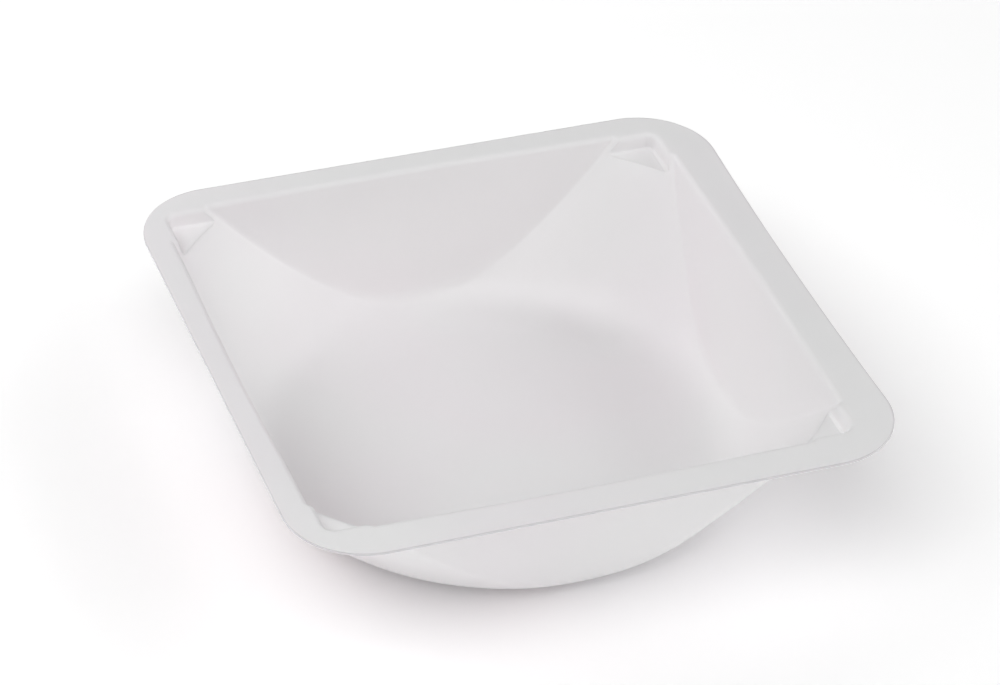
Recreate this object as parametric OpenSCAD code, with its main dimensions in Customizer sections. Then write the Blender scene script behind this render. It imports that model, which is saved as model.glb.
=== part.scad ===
// Square weighing boat, formed from one thin sheet of plastic.
// A round bowl is cut off by four steep flat walls, so that it has a square
// mouth, a round flat base and a crisp curved crease around each wall. In each
// corner of the mouth a small flat shelf, a little below the rim, fills the
// space that the bowl leaves. The origin is the centre of the base's underside.
// Lengths are in mm and angles in degrees.

/* [Sheet] */
// Thickness of the sheet
sheet_t = 0.3; // [0.25:0.05:0.5]
// Top surface's radius where the rim bends down into the well
bend_r = 0.9; // [0.7:0.1:1.5]

/* [Rim] */
// Outer width of the square rim
rim_w = 89; // [75:1:130]
// Width of the rim from its outer edge in to the flat walls
flange_w = 5.3; // [4.5:0.1:8]
// Radius of the rim's outer corners
rim_corner_r = 11.5; // [6:0.5:13]
// Offset of the cut rim from the well's axis, to the right
trim_x = 1.2; // [-1.4:0.1:1.4]
// Offset of the cut rim from the well's axis, to the back
trim_y = -0.8; // [-1.4:0.1:1.4]

/* [Well] */
// Height from the base's underside to the top of the rim
boat_h = 23; // [18:0.5:28]
// Lean of the flat walls from upright
wall_draft = 10; // [5:1:15]

/* [Bowl] */
// How far the bowl cuts in across each corner of the mouth, along the diagonal
corner_cut = 4.6; // [3.6:0.1:6]
// Lean of the bowl's cone from upright
bowl_draft = 36.5; // [30:0.5:40]
// Inside radius between the cone and the flat base
base_r = 11; // [4:0.5:14]

/* [Corner shelves] */
// How far a shelf's sides stand in from the flat walls, at the top of the rim
shelf_inset = 0.7; // [0.5:0.1:1.5]
// Radius of a shelf's upright corner, at the top of the rim
shelf_corner_r = 1.6; // [1.4:0.1:3]
// Depth of a shelf below the top of the rim
shelf_d = 2.4; // [1.8:0.1:4]
// Lean of a shelf's sides from upright
shelf_draft = 8; // [3:1:15]
// Inside radius around a shelf's floor
shelf_floor_r = 0.5; // [0.3:0.1:0.8]

/* [Hidden] */
$fn = 180;
mouth_h = rim_w / 2 - flange_w;             // from the axis to a flat wall, at the rim's top
bowl_r = mouth_h * sqrt(2) - corner_cut;    // the bowl's cone, at the rim's top
cut_top = boat_h + 2;                       // top of the hollow's form, clear of the rim
body_top = boat_h - sheet_t / 2;            // top of the well's outer form, inside the rim
rim_turn = 8;                               // angle at which a bend's arc meets the rim
side_turn = 5;                              // angle at which an arc meets a wall or a floor
bend_near = bend_r * cos(side_turn);        // from a bend's centre to the wall beside it
shelf_floor_z = boat_h - shelf_d;           // top of a shelf's floor
shelf_centre = mouth_h - shelf_inset - shelf_corner_r;  // axis of a shelf's upright corner
shelf_l = 3 * corner_cut;                   // from there inwards, until inside the bowl

// Unit vector out of the well, square to a side that leans by draft.
function across(draft) = [cos(draft), -sin(draft)];

// Centre of the arc between the rim and a side that leans by draft, and whose
// line meets the top of the rim at x = edge. The arc meets both at a small
// angle, so that neighbouring bends cross cleanly.
function bend_centre(edge, draft) =
    [edge + bend_near / cos(draft) - bend_r * cos(rim_turn) * tan(draft), boat_h - bend_r * cos(rim_turn)];

// Centre of the arc between such a side and a floor, at a distance of near from both.
function floor_centre(edge, draft, floor_z, near) =
    [edge - (boat_h - floor_z - near) * tan(draft) - near / cos(draft), floor_z + near];

// The round bowl. Like every form below, it is the sheet's top surface with
// grow = 0, and the sheet's underside with grow = sheet_t.
module bowl(grow, top) {
    low_r = base_r + grow;
    low = floor_centre(bowl_r, bowl_draft, sheet_t, base_r);
    rotate_extrude() {
        polygon([
            [0, low.y - low_r],
            [low.x, low.y - low_r],
            low + low_r * across(bowl_draft),
            [bowl_r + grow / cos(bowl_draft) + (top - boat_h) * tan(bowl_draft), top],
            [0, top],
        ]);
        translate(low) circle(low_r);
    }
}

// Everything that the flat wall on the +X side cuts off the bowl.
module wall_block(grow) {
    bend = bend_centre(mouth_h, wall_draft);
    arc_r = bend_r - grow;
    shoulder = bend - (bend_near - grow) * across(wall_draft);
    foot = shoulder - 2 * boat_h * [tan(wall_draft), 1];
    stop_x = bend.x - arc_r * sin(rim_turn);
    translate([0, mouth_h, 0])
        rotate([90, 0, 0])
        linear_extrude(2 * mouth_h) {
            polygon([
                foot,
                shoulder,
                [stop_x, bend.y],
                [stop_x, 2 * boat_h],
                [rim_w, 2 * boat_h],
                [rim_w, foot.y],
            ]);
            translate(bend) circle(arc_r);
        }
}

// The pocket of the shelf in the +X +Y corner.
module shelf(grow, top) {
    translate([shelf_centre, shelf_centre, 0]) {
        shelf_side(grow, top);
        mirror([1, -1, 0]) shelf_side(grow, top);
        rotate_extrude() shelf_section(0, grow, top);
    }
}

// The pocket along the shelf's +X side, from its upright corner along -Y.
module shelf_side(grow, top) {
    rotate([90, 0, 0])
        linear_extrude(shelf_l)
        shelf_section(-shelf_l, grow, top);
}

// Section of the shelf's pocket, from x = inner out to its side.
module shelf_section(inner, grow, top) {
    near = shelf_floor_r * cos(side_turn);
    low = floor_centre(shelf_corner_r, shelf_draft, shelf_floor_z, near);
    bend = bend_centre(shelf_corner_r, shelf_draft);
    arc_r = bend_r - grow;
    stop_x = bend.x - arc_r * sin(rim_turn);
    difference() {
        union() {
            polygon([
                [inner, shelf_floor_z - grow],
                [low.x, shelf_floor_z - grow],
                low + (near + grow) * across(shelf_draft),
                bend - (bend_near - grow) * across(shelf_draft),
                [stop_x, bend.y],
                [stop_x, top],
                [inner, top],
            ]);
            translate(low) circle(shelf_floor_r + grow);
        }
        translate(bend) circle(arc_r);
    }
}

// Everything inside one surface of the sheet, up to top.
module well(grow, top) {
    difference() {
        bowl(grow, top);
        for (turn = [0:90:270])
            rotate([0, 0, turn]) wall_block(grow);
    }
    for (turn = [0:90:270])
        rotate([0, 0, turn]) shelf(grow, top);
}

// The flat rim before the well is cut from it: a square with round corners.
module rim() {
    straight = rim_w - 2 * rim_corner_r;
    translate([trim_x, trim_y, boat_h - sheet_t])
        linear_extrude(sheet_t) {
            square([rim_w, straight], center = true);
            square([straight, rim_w], center = true);
            for (x = [-0.5, 0.5], y = [-0.5, 0.5])
                translate([x, y] * straight) circle(rim_corner_r);
        }
}

module weighing_boat() {
    color("whitesmoke")
        difference() {
            union() {
                rim();
                well(sheet_t, body_top);
            }
            well(0, cut_top);
        }
}

weighing_boat();
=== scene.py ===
# Weighing boat: one thin formed sheet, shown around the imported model.
import math

import bpy
import bmesh
from mathutils import Matrix, Vector


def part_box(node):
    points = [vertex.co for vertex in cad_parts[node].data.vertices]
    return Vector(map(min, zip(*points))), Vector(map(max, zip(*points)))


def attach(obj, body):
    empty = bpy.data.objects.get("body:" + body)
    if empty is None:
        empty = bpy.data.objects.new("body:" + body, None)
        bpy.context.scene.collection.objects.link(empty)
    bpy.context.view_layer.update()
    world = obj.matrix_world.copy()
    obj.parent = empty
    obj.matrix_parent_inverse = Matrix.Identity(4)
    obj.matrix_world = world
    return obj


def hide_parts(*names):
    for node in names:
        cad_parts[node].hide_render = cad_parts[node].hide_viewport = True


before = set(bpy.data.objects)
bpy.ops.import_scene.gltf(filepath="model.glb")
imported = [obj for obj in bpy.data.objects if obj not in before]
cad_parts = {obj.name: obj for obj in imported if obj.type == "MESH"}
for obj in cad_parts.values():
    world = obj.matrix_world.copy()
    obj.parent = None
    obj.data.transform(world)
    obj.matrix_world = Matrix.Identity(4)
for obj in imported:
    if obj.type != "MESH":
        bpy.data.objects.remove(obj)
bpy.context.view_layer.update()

mm = 0.001
nodeLow, nodeHigh = (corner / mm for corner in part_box("weighing_boat"))
print("frame loaded")

# what a user would change on the boat, in mm and degrees; the rest comes from the frame
boat = {
    "sheet": 0.3,
    "rimCornerR": 11.5,
    "mouthW": 78.4,         # between the flat walls, at the top of the rim
    "wallDraft": 10,
    "bowlR": 50.84,         # the bowl's cone, carried up to the top of the rim
    "bowlDraft": 36.5,
    "baseR": 11,
    "bendR": 0.9,
    "shelfInset": 0.7,      # a shelf's sides, in from the flat walls
    "shelfCornerR": 1.6,
    "shelfD": 2.4,
    "shelfDraft": 8,
    "shelfFloorR": 0.5,
    "creaseReach": 1.1,     # how far the crease round a wall is rounded, to each side
    "creaseShare": 0.45,    # and its largest share of the way up to the bend
    "edgeTurn": 16,         # edges that turn more than this are rounded, which are the shelves'
    "edgeW": 0.25,          # how wide they are rounded
    "edgeSteps": 3,
    "smoothTurn": 40,       # edges that turn less than this are shaded smooth
    "weld": 0.002,          # points closer than this are merged
    "wallBow": 0.4,         # how far the middle of a wall's top bulges outwards
    "rimBow": 0.55,         # how far the middle of the right-hand rim is drawn in
    "wallColumns": 24,      # half of a flat wall
    "arcColumns": 2,        # from a wall's end to a shelf
    "shelfSideColumns": 8,
    "shelfCornerColumns": 6,
    "baseRows": 5,
    "bowlRows": 16,
    "shelfFloorRows": 4,
    "shelfSideRows": 4,
    "shelfSideEase": 1.3,   # above 1, these rows are closer near the shelf's floor
    "creaseRows": 3,        # half of the rows across a wall's crease
    "wallRows": 11,
    "rowEase": 6,           # how late along a wall its rows change to those of a corner
    "bendRows": 7,
    "rimRows": (0.2, 0.4, 0.6, 0.8, 0.95, 1),  # shares of the way out to the rim's edge
}
rimTop = nodeHigh.z
rimW = nodeHigh.x - nodeLow.x
rimCentre = (nodeLow + nodeHigh) / 2
shelfFloor = rimTop - boat["shelfD"]
shelfCentre = boat["mouthW"] / 2 - boat["shelfInset"] - boat["shelfCornerR"]
diagonal = math.pi / 4


def mix(a, b, t):
    return a + (b - a) * t


# half width of a formed pocket at height z: a rounded floor corner, a leaning side, the rim's bend
def pocketAt(z, edge, draft, floorZ, floorR):
    lean = math.radians(draft)
    bend = boat["bendR"]
    topX = edge + bend / math.cos(lean) - bend * math.tan(lean)
    topZ = rimTop - bend
    lowX = edge - (rimTop - floorZ - floorR) * math.tan(lean) - floorR / math.cos(lean)
    lowZ = floorZ + floorR
    if z > topZ + bend * math.sin(lean):
        return topX - math.sqrt(max(bend ** 2 - (z - topZ) ** 2, 0))
    if z < lowZ - floorR * math.sin(lean):
        return lowX + math.sqrt(max(floorR ** 2 - (lowZ - z) ** 2, 0))
    return edge - (rimTop - z) * math.tan(lean)


def wallAt(z):
    return pocketAt(z, boat["mouthW"] / 2, boat["wallDraft"], -rimTop, boat["bendR"])


def bowlAt(z):
    return pocketAt(z, boat["bowlR"], boat["bowlDraft"], boat["sheet"], boat["baseR"])


def shelfAt(z):
    return pocketAt(z, boat["shelfCornerR"], boat["shelfDraft"], shelfFloor, boat["shelfFloorR"])


# distance along the bowl's section from the flat base's edge, and back to a height
bowlLean = math.radians(boat["bowlDraft"])
cornerTurn = math.pi / 2 - bowlLean
cornerLength = boat["baseR"] * cornerTurn
cornerTop = boat["sheet"] + boat["baseR"] * (1 - math.sin(bowlLean))


def pathAt(z):
    if z < cornerTop:
        return boat["baseR"] * math.acos(1 - (z - boat["sheet"]) / boat["baseR"])
    return cornerLength + (z - cornerTop) / math.cos(bowlLean)


def heightAt(path):
    if path < cornerLength:
        return boat["sheet"] + boat["baseR"] * (1 - math.cos(path / boat["baseR"]))
    return cornerTop + (path - cornerLength) * math.cos(bowlLean)


bendStart = rimTop - boat["bendR"] * (1 - math.sin(math.radians(boat["wallDraft"])))
wallEnd = math.acos(wallAt(bendStart) / bowlAt(bendStart))


# height at which the flat wall cuts the bowl, in one direction from the axis
def creaseAt(angle):
    low, high = boat["sheet"], bendStart
    for halving in range(50):
        z = (low + high) / 2
        if bowlAt(z) * math.cos(angle) < wallAt(z):
            low = z
        else:
            high = z
    return (low + high) / 2


# direction from the axis of a wall's column, part of the way from the wall's middle to its end
def wallAngleAt(part):
    return math.atan(math.tan(wallEnd) * part)


def polar(radius, angle, z):
    return Vector((radius * math.cos(angle), radius * math.sin(angle), z))


# which part of the mouth each column of an eighth of the boat climbs to, and how far along it
def columnKinds():
    kinds = [("wall", 0)]
    for kind in ("wall", "arc", "shelfSide", "shelfCorner"):
        count = boat[kind + "Columns"]
        kinds += [(kind, i / count) for i in range(1, count + 1)]
    return kinds


# the well's outline at height z, anywhere from the shelf's floor up to the rim
def outlinePoint(kind, part, z):
    wall, bowl, shelf = wallAt(z), bowlAt(z), shelfAt(z)
    side = shelfCentre + shelf
    wallAngle = wallEnd if z < bendStart else math.acos(wall / bowl)
    sideAngle = max(math.acos(side / bowl), wallAngle)
    if kind == "wall":
        return Vector((wall, wall * math.tan(wallAngle) * part, z))
    if kind == "arc":
        return polar(bowl, mix(wallAngle, sideAngle, part), z)
    if kind == "shelfSide":
        return Vector((side, mix(side * math.tan(sideAngle), shelfCentre, part), z))
    return Vector((shelfCentre, shelfCentre, 0)) + polar(shelf, part * diagonal, z)


# heights of the rows up a shelf's side
def shelfSideHeights():
    rows = boat["shelfSideRows"]
    return [mix(shelfFloor, bendStart, (i / rows) ** boat["shelfSideEase"]) for i in range(1, rows + 1)]


# the rows from the base's edge up to the bend, as distances along the bowl in a corner's column
def rowPaths():
    rows, floorPath = boat["bowlRows"], pathAt(shelfFloor)
    paths = [floorPath * i / rows for i in range(1, rows + 1)]
    paths += [floorPath] * boat["shelfFloorRows"]
    return paths + [pathAt(z) for z in shelfSideHeights()]


# a wall's column above the base: up the bowl, over the rounded crease and up the wall
def wallRise(part, evenAngle):
    paths = rowPaths()
    angle = wallAngleAt(part)
    crease = creaseAt(angle)
    top = pathAt(crease)
    reach = min(boat["creaseReach"], (bendStart - crease) * boat["creaseShare"])
    creaseRows, wallRows = boat["creaseRows"], boat["wallRows"]

    # a point this far above the sharp crease, or below it where along is negative
    def sharpPoint(along):
        if along < 0:
            z = heightAt(top + along)
            return polar(bowlAt(z), mix(evenAngle, angle, 1 + along / top), z)
        wall = wallAt(crease + along)
        return Vector((wall, wall * math.tan(angle), crease + along))

    # the same point with the crease rounded
    def creasePoint(along):
        if abs(along) >= reach:
            return sharpPoint(along)
        t = (along + reach) / (2 * reach)
        start, middle, end = sharpPoint(-reach), sharpPoint(0), sharpPoint(reach)
        return start.lerp(middle, t).lerp(middle.lerp(end, t), t)

    points = []
    for i, path in enumerate(paths, 1):
        left = len(paths) - i
        if left < creaseRows:
            even = left / creaseRows * reach
        else:
            even = mix(top, reach, i / (len(paths) - creaseRows))
        below = mix(even, top * (1 - path / paths[-1]), part ** boat["rowEase"])
        points.append(creasePoint(-below))
    for i in range(1, wallRows + 1):
        past = (i - creaseRows) / (wallRows - creaseRows)
        above = i / creaseRows * reach if past < 0 else mix(reach, bendStart - crease, past)
        points.append(creasePoint(above))
    return points


# a corner's column above the base: up the bowl, across the shelf's floor and up its side
def cornerRise(index, kinds, evenAngle):
    kind, part = kinds[index]
    foot = outlinePoint(kind, part, shelfFloor)
    edge = foot
    if kind != "arc":
        sideStart = boat["wallColumns"] + boat["arcColumns"]
        along = (index - sideStart) / (len(kinds) - 1 - sideStart)
        first = outlinePoint("shelfSide", 0, shelfFloor)
        edge = polar(bowlAt(shelfFloor), mix(math.atan2(first.y, first.x), diagonal, along), shelfFloor)
    edgeAngle = math.atan2(edge.y, edge.x)
    paths = rowPaths()[:boat["bowlRows"]]
    points = []
    for path in paths:
        z = heightAt(path)
        points.append(polar(bowlAt(z), mix(evenAngle, edgeAngle, path / paths[-1]), z))
    floorRows = boat["shelfFloorRows"]
    points += [edge.lerp(foot, i / floorRows) for i in range(1, floorRows + 1)]
    points += [outlinePoint(kind, part, z) for z in shelfSideHeights()]
    # there is no flat wall here, so its rows all lie in one place and are merged later
    points += [points[-1].copy() for i in range(boat["wallRows"])]
    return points


# the middle of a flat wall bulges outwards, most at its top
def bowWall(points, part):
    crease = creaseAt(wallAngleAt(part))
    bow = boat["wallBow"] * (1 - part ** 2) ** 2
    for point in points[-boat["wallRows"] - boat["bendRows"]:]:
        point.x += bow * max(point.z - crease, 0) / (rimTop - crease)


# one column of an eighth of the boat, from the middle of the base out to the top of the bend
def columnPoints(index, kinds):
    kind, part = kinds[index]
    evenAngle = diagonal * index / (len(kinds) - 1)
    baseEdge = bowlAt(boat["sheet"])
    points = [polar(baseEdge * i / boat["baseRows"], evenAngle, boat["sheet"])
              for i in range(boat["baseRows"] + 1)]
    points += wallRise(part, evenAngle) if kind == "wall" else cornerRise(index, kinds, evenAngle)
    for i in range(1, boat["bendRows"] + 1):
        slope = mix(math.radians(boat["wallDraft"]), math.pi / 2, i / boat["bendRows"])
        z = rimTop - boat["bendR"] * (1 - math.sin(slope))
        points.append(outlinePoint(kind, part, z))
    if kind == "wall":
        bowWall(points, part)
    return points


# the rim's outer edge, for the same columns
def rimPoint(index, kinds):
    straight = rimW / 2 - boat["rimCornerR"]
    if index <= boat["wallColumns"]:
        return Vector((rimW / 2, straight * index / boat["wallColumns"], rimTop))
    turn = diagonal * (index - boat["wallColumns"]) / (len(kinds) - 1 - boat["wallColumns"])
    return Vector((straight, straight, 0)) + polar(boat["rimCornerR"], turn, rimTop)


# every column of the boat, out to the rim's edge: an eighth, mirrored about the diagonal to a
# quarter, and that turned to each side
def boatColumns():
    kinds = columnKinds()
    eighth = [(columnPoints(i, kinds), rimPoint(i, kinds)) for i in range(len(kinds))]
    swap = Matrix(((0, 1, 0), (1, 0, 0), (0, 0, 1)))
    quarter = eighth + [([swap @ p for p in points], swap @ edge) for points, edge in reversed(eighth[1:-1])]
    columns = []
    for side in range(4):
        turn = Matrix.Rotation(side * math.pi / 2, 3, "Z")
        for points, edge in quarter:
            column = [turn @ p for p in points]
            outer = turn @ edge
            if outer.x > rimW / 2 - 0.01:    # on the right-hand rim's straight edge
                outer.x -= boat["rimBow"] * (1 - (outer.y / (rimW / 2 - boat["rimCornerR"])) ** 2)
            outer += Vector((rimCentre.x, rimCentre.y, 0))
            inner = column[-1]
            column += [inner.lerp(outer, part) for part in boat["rimRows"]]
            columns.append(column)
    return columns


def selectOnly(piece):
    bpy.ops.object.select_all(action="DESELECT")
    piece.select_set(True)
    bpy.context.view_layer.objects.active = piece


# a flat grid rolled into rings round the axis, one strip for each column
def makeBoat():
    columns = boatColumns()
    rows = len(columns[0])
    bpy.ops.object.select_all(action="DESELECT")
    bpy.ops.mesh.primitive_grid_add(x_subdivisions=len(columns), y_subdivisions=rows - 1, size=rimW * mm)
    sheet = bpy.context.active_object
    sheet.name = "formedSheet"
    trim = sheet.data.attributes.new("trim", "FLOAT", "POINT")    # 1 on the rim's cut edge
    for vertex in sheet.data.vertices:
        row, column = divmod(vertex.index, len(columns) + 1)
        vertex.co = columns[column % len(columns)][row] * mm
        trim.data[vertex.index].value = row == rows - 1
    selectOnly(sheet)
    bpy.ops.object.mode_set(mode="EDIT")
    bpy.ops.mesh.select_mode(type="EDGE")
    bpy.ops.mesh.select_all(action="SELECT")
    bpy.ops.mesh.remove_doubles(threshold=boat["weld"] * mm)
    bpy.ops.mesh.normals_make_consistent(inside=False)
    bpy.ops.mesh.select_all(action="DESELECT")
    # the top surface faces up, and its shelves' edges are rounded
    form = bmesh.from_edit_mesh(sheet.data)
    upward = sum(face.normal.z * face.calc_area() for face in form.faces)
    if upward < 0:
        bmesh.ops.reverse_faces(form, faces=form.faces)
    for edge in form.edges:
        edge.select = edge.is_manifold and edge.calc_face_angle() > math.radians(boat["edgeTurn"])
    bmesh.update_edit_mesh(sheet.data)
    bpy.ops.mesh.bevel(offset=boat["edgeW"] * mm, segments=boat["edgeSteps"], profile=0.5, clamp_overlap=True)
    bpy.ops.object.mode_set(mode="OBJECT")
    # the sheet's thickness goes down and outwards from there
    thickness = sheet.modifiers.new("thickness", "SOLIDIFY")
    thickness.thickness = boat["sheet"] * mm
    thickness.offset = -1
    thickness.use_even_offset = True
    thickness.use_quality_normals = True
    bpy.ops.object.modifier_apply(modifier=thickness.name)
    bpy.ops.object.shade_smooth_by_angle(angle=math.radians(boat["smoothTurn"]))
    return sheet


sheet = makeBoat()
print("boat modelled:", len(sheet.data.polygons), "faces")

# a value taken from start and end to first and last, and held there beyond them
def spread(tree, value, start, end, first, last):
    scale = tree.nodes.new("ShaderNodeMapRange")
    for name, number in zip(("From Min", "From Max", "To Min", "To Max"), (start, end, first, last)):
        scale.inputs[name].default_value = number
    tree.links.new(value, scale.inputs["Value"])
    return scale.outputs["Result"]


# lengths in mm; each noise is a size and a level of detail
look = {
    "pink": (0.985, 0.9, 0.925, 1),      # the two tints that the sheet drifts between
    "blue": (0.95, 0.92, 0.945, 1),
    "tintNoise": (45, 2),
    "tintEdges": (0.4, 0.6),             # how sharply the tints meet
    "haze": (0.32, 0.44),                # roughness, from the glossier patches to the duller ones
    "hazeNoise": (9, 5),
    "hazeEdges": (0.35, 0.65),
    "waveNoise": (16, 2),                # how the drawn sheet undulates
    "waveH": 0.05,
    "grainNoise": (0.45, 3),             # the mould's fine grain
    "grainH": 0.004,
    "depth": 0.4,                        # how far light travels inside the sheet
    # painted shade: the rim's cut edge is painted darker so that it doesn't show the light it catches
    "trimPaintedShade": (0.66, 0.64, 0.66, 1),
    "trimHaze": 0.6,
}


def styreneMaterial():
    material = bpy.data.materials.new("whiteStyrene")
    material.use_nodes = True
    tree = material.node_tree
    nodes, links = tree.nodes, tree.links
    shader = nodes["Principled BSDF"]
    place = nodes.new("ShaderNodeTexCoord").outputs["Object"]

    def noise(size, detail):
        texture = nodes.new("ShaderNodeTexNoise")
        texture.inputs["Scale"].default_value = 1 / (size * mm)
        texture.inputs["Detail"].default_value = detail
        links.new(place, texture.inputs["Vector"])
        return texture.outputs["Fac"]

    def blend(amount, first, last, kind="RGBA"):
        mixer = nodes.new("ShaderNodeMix")
        mixer.data_type = kind
        sockets = [socket for socket in mixer.inputs if socket.enabled]
        links.new(amount, sockets[0])
        for socket, value in zip(sockets[1:], (first, last)):
            if isinstance(value, bpy.types.NodeSocket):
                links.new(value, socket)
            else:
                socket.default_value = value
        return next(socket for socket in mixer.outputs if socket.enabled)

    def bump(height, size, normal=None):
        relief = nodes.new("ShaderNodeBump")
        relief.inputs["Distance"].default_value = size * mm
        links.new(height, relief.inputs["Height"])
        if normal:
            links.new(normal, relief.inputs["Normal"])
        return relief.outputs["Normal"]

    trim = nodes.new("ShaderNodeAttribute")
    trim.attribute_name = "trim"
    drift = spread(tree, noise(*look["tintNoise"]), *look["tintEdges"], 0, 1)
    tint = blend(drift, look["pink"], look["blue"])
    # the cut edge gets a painted shade, a darker grey in place of the light it would catch
    tint = blend(trim.outputs["Fac"], tint, look["trimPaintedShade"])
    haze = spread(tree, noise(*look["hazeNoise"]), *look["hazeEdges"], *look["haze"])
    haze = blend(trim.outputs["Fac"], haze, look["trimHaze"], "FLOAT")
    waves = bump(noise(*look["waveNoise"]), look["waveH"])
    grain = bump(noise(*look["grainNoise"]), look["grainH"], waves)
    links.new(tint, shader.inputs["Base Color"])
    links.new(haze, shader.inputs["Roughness"])
    links.new(grain, shader.inputs["Normal"])
    shader.inputs["Subsurface Weight"].default_value = 1
    shader.inputs["Subsurface Radius"].default_value = (1, 1, 1)
    shader.inputs["Subsurface Scale"].default_value = look["depth"] * mm
    return material


sheet.data.materials.clear()
sheet.data.materials.append(styreneMaterial())
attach(sheet, "root")
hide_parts("weighing_boat")
print("material done")

# lengths in m; a glow is its strength near the middle and far out, and where each is reached
floorLook = {
    "size": 3,
    "drop": 0.0001,               # a hair below the base
    "colour": (0.95, 0.95, 0.95, 1),
    "roughness": 0.8,
    "aroundGlow": (0.09, 0.34),
    "aroundPlaces": (0.035, 0.08),
    "underGlow": (0.14, 0),       # a light panel under the base, which shines through the thin sheet
    "underPlaces": (0.01, 0.032),
}


def makeFloor():
    bpy.ops.object.select_all(action="DESELECT")
    bpy.ops.mesh.primitive_plane_add(size=floorLook["size"])
    floor = bpy.context.active_object
    floor.name = "floor"
    floor.location.z = -floorLook["drop"]
    material = bpy.data.materials.new("paleFloor")
    material.use_nodes = True
    tree = material.node_tree
    shader = tree.nodes["Principled BSDF"]
    shader.inputs["Base Color"].default_value = floorLook["colour"]
    shader.inputs["Roughness"].default_value = floorLook["roughness"]
    shader.inputs["Emission Color"].default_value = (1, 1, 1, 1)
    place = tree.nodes.new("ShaderNodeTexCoord")
    away = tree.nodes.new("ShaderNodeVectorMath")
    away.operation = "LENGTH"
    tree.links.new(place.outputs["Object"], away.inputs[0])
    around = spread(tree, away.outputs["Value"], *floorLook["aroundPlaces"], *floorLook["aroundGlow"])
    under = spread(tree, away.outputs["Value"], *floorLook["underPlaces"], *floorLook["underGlow"])
    both = tree.nodes.new("ShaderNodeMath")
    tree.links.new(around, both.inputs[0])
    tree.links.new(under, both.inputs[1])
    tree.links.new(both.outputs["Value"], shader.inputs["Emission Strength"])
    floor.data.materials.append(material)


# the way out from the boat to the camera or a lamp, with both angles in degrees
def outward(azimuth, elevation):
    around, up = math.radians(azimuth), math.radians(elevation)
    return Vector((math.sin(around) * math.cos(up), -math.cos(around) * math.cos(up), math.sin(up)))


stage = {
    "azimuth": -21.258,       # angles in degrees
    "elevation": 36.12,
    "roll": 2.669,
    "distance": 7.228,        # in rim widths
    "lens": 162,              # in mm, with the sensor's width
    "sensorW": 36,
    "shiftX": -0.01025,
    "shiftY": -0.02147,
    "clipEnd": 10,            # in m
}


def makeCamera():
    azimuth, roll = math.radians(stage["azimuth"]), math.radians(stage["roll"])
    back = outward(stage["azimuth"], stage["elevation"])
    right = Vector((math.cos(azimuth), math.sin(azimuth), 0))
    up = back.cross(right)
    aim = Vector((rimCentre.x, rimCentre.y, rimTop)) * mm
    camera = bpy.data.objects.new("camera", bpy.data.cameras.new("camera"))
    bpy.context.scene.collection.objects.link(camera)
    rolledRight = right * math.cos(roll) + up * math.sin(roll)
    rolledUp = up * math.cos(roll) - right * math.sin(roll)
    turn = Matrix((rolledRight, rolledUp, back)).transposed().to_4x4()
    camera.matrix_world = Matrix.Translation(aim + back * stage["distance"] * rimW * mm) @ turn
    camera.data.lens = stage["lens"]
    camera.data.sensor_width = stage["sensorW"]
    camera.data.shift_x = stage["shiftX"]
    camera.data.shift_y = stage["shiftY"]
    camera.data.clip_end = stage["clipEnd"]
    bpy.context.scene.camera = camera


# soft boxes around the boat: azimuth and elevation in degrees, distance and size in m, power in W
lamps = {
    "frontTopBox": (-45, 60, 1.6, 1.4, 13.9),
    "frontRightBox": (45, 30, 1.6, 1.4, 6.7),
    "rightBox": (90, 30, 1.6, 1.05, 4.6),
    "leftHighBox": (-90, 45, 0.9, 0.5, 0.7),
    "backLeftBox": (-135, 25, 0.4, 0.3, 0.45),
    "backBox": (180, 30, 0.9, 0.6, 0.15),
}


lampAim = Vector((0, 0, 0.01))


def makeLamps():
    for name, (azimuth, elevation, distance, size, power) in lamps.items():
        lamp = bpy.data.lights.new(name, "AREA")
        lamp.size = size
        lamp.energy = power
        light = bpy.data.objects.new(name, lamp)
        bpy.context.scene.collection.objects.link(light)
        light.location = outward(azimuth, elevation) * distance
        light.rotation_euler = (light.location - lampAim).to_track_quat("Z", "Y").to_euler()


makeFloor()
makeCamera()
makeLamps()
bpy.context.scene.view_settings.view_transform = "Standard"
print("stage ready")
